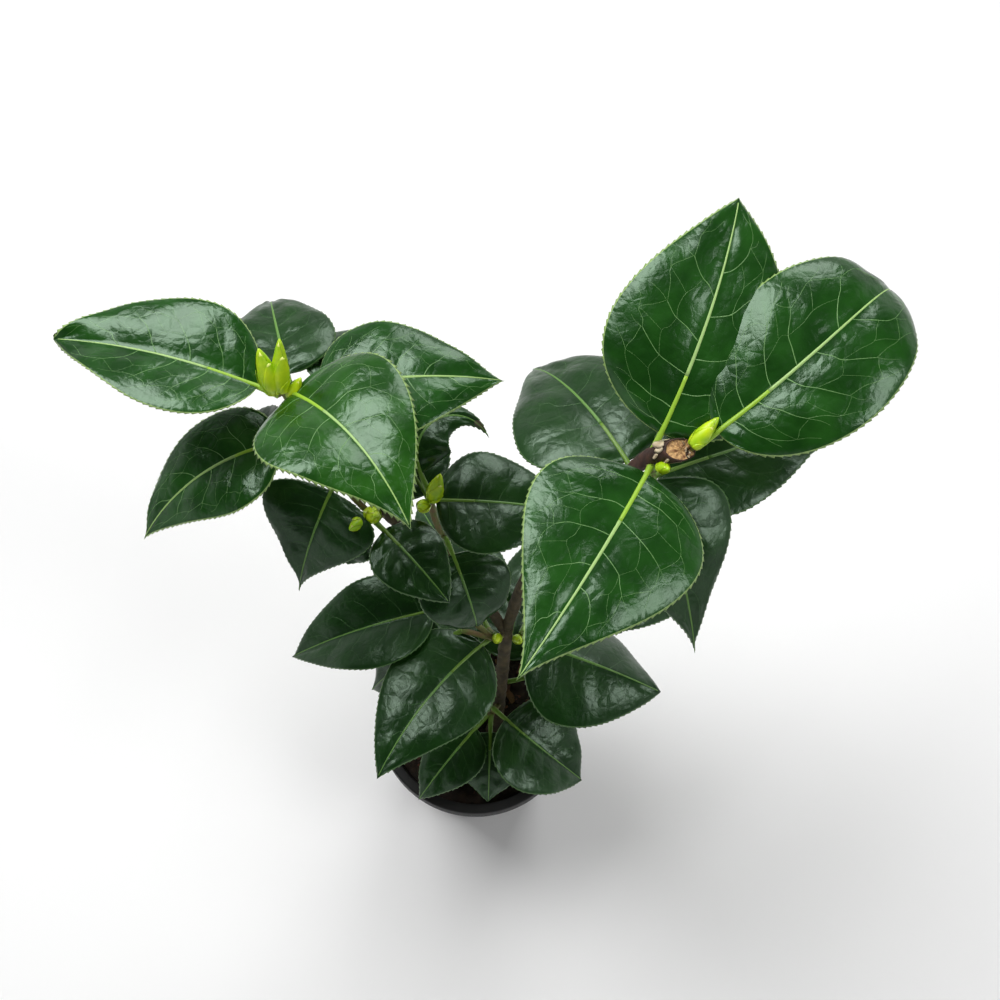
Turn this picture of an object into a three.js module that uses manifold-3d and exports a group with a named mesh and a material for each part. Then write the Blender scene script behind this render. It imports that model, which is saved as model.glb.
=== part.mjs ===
// A young camellia shrub in a round 90 mm nursery pot. Millimetres, +Z up.
// The origin is the middle of the pot's flat underside. A short trunk forks into two boughs, and each
// mass of foliage is one solid: its own stem, twigs, leaves and buds, fused.
import * as THREE from 'three';
import { mergeVertices } from 'three/addons/utils/BufferGeometryUtils.js';
import Module from 'manifold-3d';

const wasm = await Module();
wasm.setup();

// ---- driving dimensions ----
const GAP = 0.3;                // clearance between neighbouring solids

const POT_HEIGHT = 88;
const POT_RIM_RADIUS = 45;      // outside of the lip
const POT_LIP_HEIGHT = 9;
const POT_LIP_PROUD = 2.7;      // how far the lip stands out of the wall
const POT_BASE_RADIUS = 31;
const POT_WALL = 1.6;
const POT_FLOOR = 2;
const POT_EDGE = 0.8;           // bevel of the lip and of the foot
const DRAIN_HOLES = 8;
const DRAIN_RADIUS = 3.5;
const DRAIN_CIRCLE = 23;
const SOIL_TOP = 80;            // soil level at the wall
const SOIL_CROWN = 1.5;         // how much higher it lies round the stem

const LIMB_SIDES = 8;
const FLARE_SHARE = 0.2;        // how far up the trunk its flare runs
const TWIG_SIDES = 5;
const TWIG_STEPS = 3;
const TWIG_KINK = 0.1;          // how far a twig bends aside, as a share of its length
const TWIG_SEED = 11;

const BLADE_THICK = 0.9;
const BLADE_ROWS = 6;           // facets along a leaf
const UPPER_COLUMNS = 4;        // facets across its upper side
const LOWER_COLUMNS = 2;        // facets across its lower side
const BASE_FULLNESS = 0.55;     // roundness of a blade where it meets its stalk
const STALK_RADIUS = 1.1;
const BUD_STEPS = 5;

const COLOURS = {
  pot: 0x17181a,
  soil: 0x3a2a20,
  bark: 0x6f6a48,
  leaf: 0x2c4a2a,
};

// Limbs: a path of points, with the radius at the foot and at the tip.
const LIMBS = {
  trunk: { path: [[8.5, -6.5, 77], [11, 5, 112], [14, 20, 160]], foot: 3.1, tip: 2.5, flare: 2.4 },
  right_bough: { path: [[14, 20, 160], [22, 27, 205], [38, 27, 262], [51, 22, 312]], foot: 2.4, tip: 2.1 },
  left_bough: { path: [[13, 19, 157], [-2, 30, 190], [-32, 42, 232], [-58, 58, 282]], foot: 2.2, tip: 1.8 },
};

// Masses: the path of the stem and its radii at foot and tip, then its leaves and buds, in degrees and mm.
// at      where the stalk leaves its twig
// az      azimuth in which the leaf sets out, counter-clockwise from +X
// pitch   how steeply it rises there, and droop how much it sinks again towards its tip
// long, wide  of the blade
// sweep   how much the azimuth turns along the blade, and curl how much the last part of it bends down
// taper   from 0.6 for a blunt tip to 2 for a drawn-out one
// roll    lifts the blade's left side, and fold lifts both sides off the midrib
// wave    height of the waves along the margins
// stalk   length of the stalk
const MASSES = {
  right_crown: {
    path: [[51, 22, 312], [55, 22, 326], [62, 22, 337], [70, 21, 341]], foot: 2, tip: 3.2,
    leaves: [
      { at: [58, 19, 331], az: -117, pitch: 12, droop: 22, long: 79, wide: 59, taper: 1.45, sweep: -9,
        roll: -9, stalk: 3 },
      { at: [58, 22, 334], az: 61, pitch: 35, droop: 28, long: 78, wide: 59, taper: 1, sweep: 18, roll: 8 },
      { at: [72, 22, 340], az: 31, pitch: 26, droop: 18, long: 80, wide: 54, taper: 0.6, sweep: 18,
        curl: 70, roll: 8 },
      { at: [56, 24, 309], az: 118, pitch: 0, droop: 50, long: 67, wide: 57, sweep: 8, curl: 10 },
      { at: [59, 18, 326], az: -71, pitch: -14, droop: 52, long: 64, wide: 43, taper: 1.9, stalk: 1.5 },
      { at: [59, 21, 317], az: 20, pitch: 2, droop: 14, long: 70, wide: 42, taper: 1.4, stalk: 3 },
      { at: [57, 24, 306], az: 50, pitch: -30, droop: 20, long: 56, wide: 38 },
    ],
    buds: [
      { at: [70.5, 22, 341.5], az: 42, pitch: 30, long: 11, wide: 5 },
      { at: [61, 18, 333], az: -60, pitch: 55, long: 6, wide: 4 },
    ],
  },
  left_crown: {
    path: [[-58, 58, 282], [-61, 60, 292], [-63, 60, 302]], foot: 1.8, tip: 1.5,
    leaves: [
      { at: [-65, 59, 300], az: 161, pitch: 13, droop: 20, long: 73, wide: 49, sweep: 12, taper: 0.95,
        wave: 1.5, fold: 27, roll: 5 },
      { at: [-61, 59, 302], az: -38, pitch: 35, droop: 60, long: 70, wide: 58, sweep: -26, taper: 1.35,
        fold: 20, roll: -4, stalk: 3 },
      { at: [-59, 63, 292], az: 4, pitch: 21, droop: 46, long: 67, wide: 47, taper: 1.2 },
      { at: [-57, 65, 287], az: 52, pitch: -12, droop: 35, long: 44, wide: 34 },
      { at: [-62, 66, 289], az: 105, pitch: -8, droop: 20, long: 49, wide: 41, curl: 45 },
      { at: [-60, 53, 276], az: -173, pitch: -8, droop: 40, long: 69, wide: 40, taper: 1.3, sweep: 38 },
      { at: [-64, 60, 272], az: 178, pitch: -38, droop: 20, long: 36, wide: 26, stalk: 4 },
    ],
    buds: [
      { at: [-66, 59, 304], az: 112, pitch: 66, long: 18, wide: 7 },
      { at: [-63, 59, 305], az: 82, pitch: 62, long: 20, wide: 6 },
      { at: [-60, 58, 302], az: 40, pitch: 50, long: 8, wide: 4.5 },
    ],
  },
  centre: {
    path: [[-6, 33, 197], [-14, 44, 222], [-15, 47, 240]], foot: 1.5, tip: 1.3,
    leaves: [
      { at: [-15, 45, 238], az: -1, pitch: 5, droop: 35, long: 59, wide: 42, taper: 1.3, stalk: 2 },
      { at: [-16, 49, 238], az: 118, pitch: 35, droop: 75, long: 48, wide: 26, taper: 1.8, sweep: -175 },
      { at: [-14, 46, 226], az: 120, pitch: 5, droop: 40, long: 54, wide: 36 },
      { at: [-10, 39, 214], az: -68, pitch: -5, droop: 60, long: 35, wide: 38, taper: 0.8, curl: 30 },
    ],
    buds: [
      { at: [-14, 45, 241], az: 60, pitch: 60, long: 12, wide: 6 },
      { at: [-17, 43, 238], az: -120, pitch: 60, long: 8, wide: 5 },
    ],
  },
  left_middle: {
    path: [[-32, 42, 232], [-36, 40, 236], [-38, 40, 238]], foot: 1.3, tip: 1.2,
    leaves: [
      { at: [-49, 53, 245], az: -117, pitch: -20, droop: 50, long: 47, wide: 50, taper: 2.1, fold: 22 },
      { at: [-37, 39, 234], az: -48, pitch: 15, droop: 40, long: 38, wide: 29, taper: 1.0 },
      { at: [-38, 41, 232], az: -132, pitch: -35, droop: 20, long: 17, wide: 19 },
      { at: [-36, 43, 234], az: 95, pitch: -5, droop: 30, long: 50, wide: 34 },
    ],
    buds: [
      { at: [-39, 38, 238], az: -125, pitch: 40, long: 12, wide: 6 },
      { at: [-37, 39, 239], az: -70, pitch: 65, long: 12, wide: 6.5 },
    ],
  },
  right_middle: {
    path: [[23, 27, 208], [28, 26, 207], [31, 25, 207]], foot: 1.3, tip: 1.2,
    leaves: [
      { at: [31, 27, 208], az: 55, pitch: 5, droop: 35, long: 56, wide: 38 },
      { at: [32, 25, 205], az: -5, pitch: 0, droop: 35, long: 54, wide: 36 },
      { at: [31, 23, 205], az: -30, pitch: -8, droop: 30, long: 28, wide: 24 },
    ],
    buds: [],
  },
  low_left: {
    path: [[14, 19, 155], [10, 16, 157], [8, 15, 159]], foot: 1.4, tip: 1.2,
    leaves: [
      { at: [9, 17, 158], az: -139, pitch: 5, droop: 22, long: 71, wide: 46, sweep: 22 },
      { at: [-10, 28, 161], az: -169, pitch: -4, droop: 40, long: 71, wide: 45, fold: 28 },
      { at: [-5, 18, 160], az: -158, pitch: -22, droop: 40, long: 50, wide: 34 },
      { at: [6, 20, 156], az: 116, pitch: -4, droop: 30, long: 70, wide: 42 },
    ],
    buds: [
      { at: [10, 15, 160], az: -100, pitch: 60, long: 7, wide: 4 },
    ],
  },
  low_right: {
    path: [[14, 18, 150], [19, 17, 152], [21, 17, 153]], foot: 1.4, tip: 1.2,
    leaves: [
      { at: [19, 17, 152], az: -19, pitch: 5, droop: 30, long: 61, wide: 54, taper: 0.9, fold: -12, roll: -14,
        stalk: 4 },
      { at: [20, 19, 153], az: 66, pitch: -2, droop: 35, long: 58, wide: 38 },
      { at: [21, 18, 154], az: 34, pitch: -6, droop: 35, long: 42, wide: 30 },
    ],
    buds: [
      { at: [18, 16, 155], az: -60, pitch: 60, long: 7, wide: 4 },
    ],
  },
  base_front: {
    path: [[11, 2, 104], [9, -2, 107], [8, -4, 109]], foot: 1.3, tip: 1.2,
    leaves: [
      { at: [8, -4, 116], az: -40, pitch: -8, droop: 33, long: 46, wide: 50, taper: 1, sweep: 12, fold: 22,
        roll: -10 },
      { at: [5, -6, 110], az: -132, pitch: -5, droop: 40, long: 43, wide: 28 },
      { at: [7, -6, 110], az: -92, pitch: -12, droop: 40, long: 33, wide: 34 },
    ],
    buds: [],
  },
  base_back: {
    path: [[11, 4, 106], [12, 10, 109], [12, 12, 111]], foot: 1.3, tip: 1.2,
    leaves: [
      { at: [13, 12, 112], az: 80, pitch: 5, droop: 45, long: 48, wide: 34 },
      { at: [10, 12, 111], az: 145, pitch: 0, droop: 45, long: 48, wide: 32 },
      { at: [15, 10, 109], az: 12, pitch: 0, droop: 45, long: 44, wide: 30 },
    ],
    buds: [],
  },
};

// What a leaf has when its row says nothing else.
const USUAL = { curl: 0, sweep: 0, taper: 1.15, roll: 0, fold: 12, wave: 0, camber: 0.25, stalk: 7 };

// ---- closed solids from rings of points ----
const vector = ([x, y, z]) => new THREE.Vector3(x, y, z);
const radians = THREE.MathUtils.degToRad;

function toSolid(points, triangles) {
  return new wasm.Manifold(new wasm.Mesh({
    numProp: 3,
    vertProperties: new Float32Array(points.flatMap((p) => [p.x, p.y, p.z])),
    triVerts: new Uint32Array(triangles.flat()),
  }));
}

// Skins rings of equal count, each counter-clockwise seen from the far end, and closes both ends with fans.
function loft(rings) {
  const count = rings[0].length;
  const points = rings.flat();
  const triangles = [];
  for (let ring = 0; ring < rings.length - 1; ring += 1) {
    for (let i = 0; i < count; i += 1) {
      const a = ring * count + i;
      const b = ring * count + ((i + 1) % count);
      triangles.push([a, b, b + count], [a, b + count, a + count]);
    }
  }
  const last = (rings.length - 1) * count;
  for (let i = 1; i < count - 1; i += 1) {
    triangles.push([0, i + 1, i], [last, last + i, last + i + 1]);
  }
  return toSolid(points, triangles);
}

// A round tapering rod along a curve. radiusAt takes 0 at the foot to 1 at the tip.
function rod(curve, steps, sides, radiusAt) {
  const frames = curve.computeFrenetFrames(steps, false);
  const rings = [];
  for (let i = 0; i <= steps; i += 1) {
    const t = i / steps;
    const centre = curve.getPointAt(t);
    const ring = [];
    for (let k = 0; k < sides; k += 1) {
      const turn = (2 * Math.PI * k) / sides;
      ring.push(centre.clone()
        .addScaledVector(frames.normals[i], radiusAt(t) * Math.cos(turn))
        .addScaledVector(frames.binormals[i], radiusAt(t) * Math.sin(turn)));
    }
    rings.push(ring);
  }
  return loft(rings);
}

const fuse = (solids) => solids.reduce((whole, solid) => whole.add(solid));

// ---- limbs ----
const smooth = (points) => new THREE.CatmullRomCurve3(points, false, 'catmullrom', 0.5);

// The rod of a limb, or with room = GAP the space that its neighbours keep out of.
function limb({ path, foot, tip, flare = 0 }, room = 0) {
  const points = path.map(vector);
  const start = points[0].clone().sub(points[1]).setLength(room);
  const end = points.at(-1).clone().sub(points.at(-2)).setLength(room);
  points[0].add(start);
  points.at(-1).add(end);
  const steps = 2 * points.length + (flare ? 4 : 0);
  return rod(smooth(points), steps, LIMB_SIDES, (t) => (
    foot + (tip - foot) * t + flare * Math.max(0, 1 - t / FLARE_SHARE) ** 2 + room));
}

// ---- leaves ----
// Half width of a blade at t along it, as a share of its widest.
function outline(t, taper) {
  const widest = BASE_FULLNESS / (BASE_FULLNESS + taper);
  const at = (s) => s ** BASE_FULLNESS * (1 - s) ** taper;
  return at(t) / at(widest);
}

function heading(azimuth, pitch) {
  return new THREE.Vector3(
    Math.cos(pitch) * Math.cos(azimuth), Math.cos(pitch) * Math.sin(azimuth), Math.sin(pitch));
}

// Points along the midrib, each with its sideways direction and its upward normal. They lie closer
// together at both ends, where the outline turns most.
function midrib(leaf) {
  const wayAt = (t) => [
    radians(leaf.az + leaf.sweep * t),
    radians(leaf.pitch - leaf.droop * t - leaf.curl * t ** 4),
  ];
  const roll = radians(leaf.roll);
  const place = vector(leaf.at).addScaledVector(heading(...wayAt(0)), leaf.stalk);
  const stations = [];
  let before = 0;
  for (let i = 0; i <= BLADE_ROWS; i += 1) {
    const t = 0.5 - 0.5 * Math.cos((Math.PI * i) / BLADE_ROWS);
    place.addScaledVector(heading(...wayAt((t + before) / 2)), (t - before) * leaf.long);
    before = t;
    const [azimuth, pitch] = wayAt(t);
    const level = new THREE.Vector3(-Math.sin(azimuth), Math.cos(azimuth), 0);
    const upright = heading(azimuth, pitch).cross(level);
    stations.push({
      t,
      place: place.clone(),
      side: level.clone().multiplyScalar(Math.cos(roll)).addScaledVector(upright, Math.sin(roll)),
      up: upright.clone().multiplyScalar(Math.cos(roll)).addScaledVector(level, -Math.sin(roll)),
    });
  }
  return stations;
}

// A closed ring of points across a leaf: its upper side from left to right, then its lower side back.
// Half is the half width there and thick the distance between the two sides.
function section({ t, place, side, up }, leaf, half, thick) {
  const fold = radians(leaf.fold);
  const at = (v, offset) => {
    const ripple = leaf.wave * v * v * Math.sin(3 * Math.PI * t + v);
    const lift = half * (Math.abs(v) * Math.sin(fold) - leaf.camber * v * v) + ripple;
    return place.clone()
      .addScaledVector(side, half * v * Math.cos(fold))
      .addScaledVector(up, lift + offset);
  };
  const upper = Array.from({ length: UPPER_COLUMNS + 1 }, (_, i) => 1 - (2 * i) / UPPER_COLUMNS);
  const lower = Array.from({ length: LOWER_COLUMNS + 1 }, (_, i) => (2 * i) / LOWER_COLUMNS - 1);
  return [...upper.map((v) => at(v, thick / 2)), ...lower.map((v) => at(v, -thick / 2))];
}

// A leaf: a flattened stalk from its node, and a thin blade folded along its midrib, arched across and
// waved along its margins.
function leafSolid(leaf) {
  const stations = midrib(leaf);
  const first = stations[0];
  const foot = { ...first, place: vector(leaf.at) };
  const rings = [
    section(foot, { ...leaf, wave: 0 }, STALK_RADIUS, 2 * STALK_RADIUS),
    section(first, { ...leaf, wave: 0 }, STALK_RADIUS, 1.6 * STALK_RADIUS),
  ];
  for (const station of stations.slice(1)) {
    const half = (leaf.wide / 2) * outline(Math.min(station.t, 0.985), leaf.taper);
    rings.push(section(station, leaf, half, BLADE_THICK));
  }
  return loft(rings);
}

// ---- twigs and buds ----
// A number from -1 to 1 that looks random and is the same for the same seed.
function scatter(seed) {
  const large = 43758.5453 * Math.sin(12.9898 * seed);
  return 2 * (large - Math.floor(large)) - 1;
}

// A twig that branches off the nearest place on the stem, clear of its foot, bends a little aside and ends
// at a node. A node that lies on the stem needs none.
function twig(stem, node, seed) {
  const spots = stem.getSpacedPoints(24).slice(4);
  const foot = spots.reduce((best, p) => (p.distanceTo(node) < best.distanceTo(node) ? p : best));
  const reach = foot.distanceTo(node);
  if (reach < STALK_RADIUS) {
    return [];
  }
  const aside = new THREE.Vector3(scatter(seed), scatter(seed + 1), scatter(seed + 2));
  const bend = foot.clone().lerp(node, 0.5).addScaledVector(aside, TWIG_KINK * reach);
  const past = node.clone().addScaledVector(node.clone().sub(bend).normalize(), STALK_RADIUS / 2);
  return [rod(smooth([foot, bend, past]), TWIG_STEPS, TWIG_SIDES, (t) => STALK_RADIUS * (1.15 - 0.1 * t))];
}

// A bud's half width at t along it, as a share of its widest: a round foot and a slender point.
function budProfile(t) {
  const at = (s) => (s + 0.08) ** 0.45 * (1.02 - s) ** 0.75;
  return at(t) / at(0.34);
}

function bud({ at, az, pitch, long, wide }) {
  const from = vector(at);
  const way = heading(radians(az), radians(pitch));
  const curve = new THREE.LineCurve3(
    from.clone().addScaledVector(way, -STALK_RADIUS), from.clone().addScaledVector(way, long));
  return rod(curve, BUD_STEPS, TWIG_SIDES, (t) => (wide / 2) * budProfile(t));
}

// ---- masses ----
function mass({ path, foot, tip, leaves, buds }, seed) {
  const stem = smooth(path.map(vector));
  const twigs = [...leaves, ...buds].flatMap((row, i) => twig(stem, vector(row.at), seed + TWIG_SEED * i));
  const solid = fuse([
    limb({ path, foot, tip }),
    ...twigs,
    ...leaves.map((row) => leafSolid({ ...USUAL, ...row })),
    ...buds.map(bud),
  ]);
  return Object.values(LIMBS).reduce((rest, other) => rest.subtract(limb(other, GAP)), solid);
}

// ---- pot and soil ----
const potWall = POT_RIM_RADIUS - POT_LIP_PROUD;

// Outer radius of the pot's wall at a height.
const wallRadius = (z) => POT_BASE_RADIUS + ((potWall - POT_BASE_RADIUS) * z) / POT_HEIGHT;

function turned(profile, segments = 36) {
  const points = profile.map(([radius, z]) => new THREE.Vector2(radius, z));
  const geometry = new THREE.LatheGeometry(points, segments);
  geometry.rotateX(Math.PI / 2);
  return geometry;
}

function geometryToSolid(geometry) {
  geometry.deleteAttribute('normal');
  geometry.deleteAttribute('uv');
  const merged = mergeVertices(geometry, 1e-4);
  const corners = Array.from(merged.index.array);
  const triangles = [];
  for (let i = 0; i < corners.length; i += 3) {
    const triangle = corners.slice(i, i + 3);
    if (new Set(triangle).size === 3) {
      triangles.push(triangle);
    }
  }
  const position = merged.getAttribute('position');
  const points = Array.from({ length: position.count }, (_, i) => (
    new THREE.Vector3().fromBufferAttribute(position, i)));
  return toSolid(points, triangles);
}

function pot() {
  const lipFoot = POT_HEIGHT - POT_LIP_HEIGHT;
  const shell = geometryToSolid(turned([
    [0, 0],
    [POT_BASE_RADIUS - POT_EDGE, 0],
    [POT_BASE_RADIUS, POT_EDGE],
    [wallRadius(lipFoot), lipFoot],
    [POT_RIM_RADIUS, lipFoot + POT_EDGE],
    [POT_RIM_RADIUS, POT_HEIGHT - POT_EDGE],
    [POT_RIM_RADIUS - POT_EDGE, POT_HEIGHT],
    [potWall - POT_WALL, POT_HEIGHT],
    [wallRadius(POT_FLOOR) - POT_WALL, POT_FLOOR],
    [0, POT_FLOOR],
  ]));
  const holes = Array.from({ length: DRAIN_HOLES }, (_, i) => {
    const turn = (2 * Math.PI * i) / DRAIN_HOLES;
    const hole = new THREE.CylinderGeometry(DRAIN_RADIUS, DRAIN_RADIUS, 3 * POT_FLOOR, 10);
    hole.rotateX(Math.PI / 2);
    hole.translate(DRAIN_CIRCLE * Math.cos(turn), DRAIN_CIRCLE * Math.sin(turn), 0);
    return geometryToSolid(hole);
  });
  return holes.reduce((solid, hole) => solid.subtract(hole), shell);
}

// The compost fills the pot to just under the rim and is slightly higher round the stem.
// With room = GAP it is the space that the stem keeps out of.
function soil(room = 0) {
  const inner = (z) => wallRadius(z) - POT_WALL - GAP;
  const foot = POT_FLOOR + GAP;
  const top = SOIL_TOP + SOIL_CROWN + room;
  return geometryToSolid(turned([
    [0, foot],
    [inner(foot), foot],
    [inner(SOIL_TOP), SOIL_TOP + room],
    [inner(SOIL_TOP) * 0.8, top - SOIL_CROWN * 0.3],
    [inner(SOIL_TOP) * 0.55, top],
    [0, top],
  ], 32));
}

// ---- the scene graph ----
function toMesh(name, solid, material) {
  const { vertProperties, triVerts, numProp } = solid.getMesh();
  const geometry = new THREE.BufferGeometry();
  const places = [];
  for (let i = 0; i < vertProperties.length; i += numProp) {
    places.push(vertProperties[i], vertProperties[i + 1], vertProperties[i + 2]);
  }
  geometry.setAttribute('position', new THREE.BufferAttribute(new Float32Array(places), 3));
  geometry.setIndex(Array.from(triVerts));
  geometry.computeVertexNormals();
  const mesh = new THREE.Mesh(geometry, material);
  mesh.name = name;
  return mesh;
}

const finish = (color, roughness) => new THREE.MeshStandardMaterial({ color, roughness, metalness: 0 });
const bark = finish(COLOURS.bark, 0.8);
const leafage = finish(COLOURS.leaf, 0.35);

const trunk = limb(LIMBS.trunk).subtract(soil(GAP));
const rightBough = limb(LIMBS.right_bough).subtract(limb(LIMBS.trunk, GAP));
const leftBough = limb(LIMBS.left_bough)
  .subtract(limb(LIMBS.trunk, GAP))
  .subtract(limb(LIMBS.right_bough, GAP));

const shrub = new THREE.Group();
shrub.name = 'camellia_shrub';
shrub.add(toMesh('pot', pot(), finish(COLOURS.pot, 0.5)));
shrub.add(toMesh('soil', soil(), finish(COLOURS.soil, 0.95)));
shrub.add(toMesh('trunk', trunk, bark));
shrub.add(toMesh('right_bough', rightBough, bark));
shrub.add(toMesh('left_bough', leftBough, bark));
Object.entries(MASSES).forEach(([name, plan], number) => {
  shrub.add(toMesh(name, mass(plan, 100 * number), leafage));
});

export default shrub;
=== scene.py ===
"""A young camellia shrub in a round nursery pot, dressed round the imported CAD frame.

The tables of limbs and masses and the rule by which a leaf lies in space are those of the CAD source, in
millimetres. Here they carry fine blades with toothed margins and raised veins, scaly buds and bark relief.
"""
import math

import bpy
import numpy as np
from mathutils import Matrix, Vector, noise


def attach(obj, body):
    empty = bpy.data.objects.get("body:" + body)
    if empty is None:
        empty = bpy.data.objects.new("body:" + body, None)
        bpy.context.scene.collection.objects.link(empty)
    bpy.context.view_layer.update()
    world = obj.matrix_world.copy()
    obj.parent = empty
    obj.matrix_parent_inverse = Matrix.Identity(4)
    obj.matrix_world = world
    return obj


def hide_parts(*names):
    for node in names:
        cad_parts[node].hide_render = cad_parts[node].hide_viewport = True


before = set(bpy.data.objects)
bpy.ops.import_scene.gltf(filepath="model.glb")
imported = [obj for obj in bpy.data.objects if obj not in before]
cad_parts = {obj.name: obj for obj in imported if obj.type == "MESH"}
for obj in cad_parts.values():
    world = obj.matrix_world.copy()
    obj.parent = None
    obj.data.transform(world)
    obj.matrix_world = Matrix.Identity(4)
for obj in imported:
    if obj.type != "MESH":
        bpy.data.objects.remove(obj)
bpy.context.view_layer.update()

MM = 0.001
SEED = 7

# ---- sizes, in millimetres ----
POT_HEIGHT = 88
POT_RIM_RADIUS = 45
POT_LIP_HEIGHT = 9
POT_LIP_PROUD = 2.7
POT_BASE_RADIUS = 31
POT_WALL = 1.6
POT_FLOOR = 2
DRAIN_HOLES = 8
DRAIN_RADIUS = 3.5
DRAIN_CIRCLE = 23
SOIL_TOP = 80
SOIL_CROWN = 1.5
GAP = 0.3

BASE_FULLNESS = 0.55    # roundness of a blade where it meets its stalk
CAMBER = 0.25           # how far a blade's margins sink, as a share of its half width
BLADE_THICK = 0.5
STALK_RADIUS = 1.1
TOOTH_PITCH = 2.5
TOOTH_DEPTHS = (0.4, 0.5, 1.0, 0.4)    # by a leaf's tint
MARGIN_WIDTH = 0.32     # of the pale band that the teeth stand on
RIB_WIDTH = 1.75        # of the midrib where it leaves the stalk
RIB_STEPS = 46
LIME_STEPS = 11         # how many of them are as lime green as the stalk
CUSHION = 0.14          # half the height of the cushions between the side veins
GROOVE = 0.08           # depth of the groove along a side vein
RIPPLE = 0.45           # height of the ripples at the margin
LATERALS = 5            # side veins on each half of a blade
VEIN_STEP = 0.15        # from one side vein to the next, as a share of the margin
COLUMNS = 11            # points from the midrib to the margin

BUD_SCALES = (0.3, 0.5, 0.74, 0.9, 0.97)    # how far up a bud each scale reaches, outermost first
DRY_TIP = 3             # the tint of a leaf that has dried from its tip
DRY_FROM = 0.86         # where the dried part starts, as a share of the margin

TWIG_KINK = 0.1         # how far a twig bends aside, as a share of its length
TWIG_SEED = 11

LIMB_STEPS = 150
LIMB_SIDES = 32
STEM_SIDES = 18
STEM_STEPS = 40
TWIG_SIDES = 12
LIMB_RELIEF, SHOOT_RELIEF, STEM_RELIEF, TWIG_RELIEF = 0.28, 0.3, 0.2, 0.12
SHOOT_CUT = 10          # steps at the end of the leading shoot that its cut stub takes over
POT_SIDES = 144
SOIL_SIDES = 150
CHIPS = 420             # bark chips tried, of which those too near the stem are dropped
CHIP_CLEARANCE = 7.5    # of a chip from the middle of the stem

# A tooth: how far along its pitch, and how far out, as shares. It leans towards the leaf's tip.
TOOTH = ((0.0, 0.0), (0.4, 0.45), (0.74, 1.0), (0.87, 0.35))


# ---- limbs and masses: places in millimetres and angles in degrees ----
def leaf(at, az, pitch, droop, long, wide, *, curl=0, sweep=0, taper=1.15, roll=0, fold=12, wave=0,
         stalk=7, tint=1):
    """A leaf's node, the azimuth and pitch at which it sets out, its droop, and the blade's length and
    width. curl bends its last part down, and sweep turns it sideways. taper goes from 0.6 for a blunt tip
    to 2 for a slender one. roll lifts its left side and fold both sides. wave is the height of waves along
    the margins. stalk is a length. tint is 0 for the deepest green, 1, 2 for the freshest, or DRY_TIP."""
    return dict(at=at, az=az, pitch=pitch, droop=droop, long=long, wide=wide, curl=curl, sweep=sweep,
                taper=taper, roll=roll, fold=fold, wave=wave, stalk=stalk, tint=tint)


def bud(at, az, pitch, long, wide):
    """A bud's foot, the azimuth and pitch at which it points, and its length and width."""
    return dict(at=at, az=az, pitch=pitch, long=long, wide=wide)


LIMBS = {
    "trunk": dict(path=[(8.5, -6.5, 77), (11, 5, 112), (14, 20, 160)], foot=3.1, tip=2.5, flare=2.4),
    "right_bough": dict(path=[(14, 20, 160), (22, 27, 205), (38, 27, 262), (51, 22, 312)],
                        foot=2.4, tip=2.1, flare=0),
    "left_bough": dict(path=[(13, 19, 157), (-2, 30, 190), (-32, 42, 232), (-58, 58, 282)],
                       foot=2.2, tip=1.8, flare=0),
}

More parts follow.
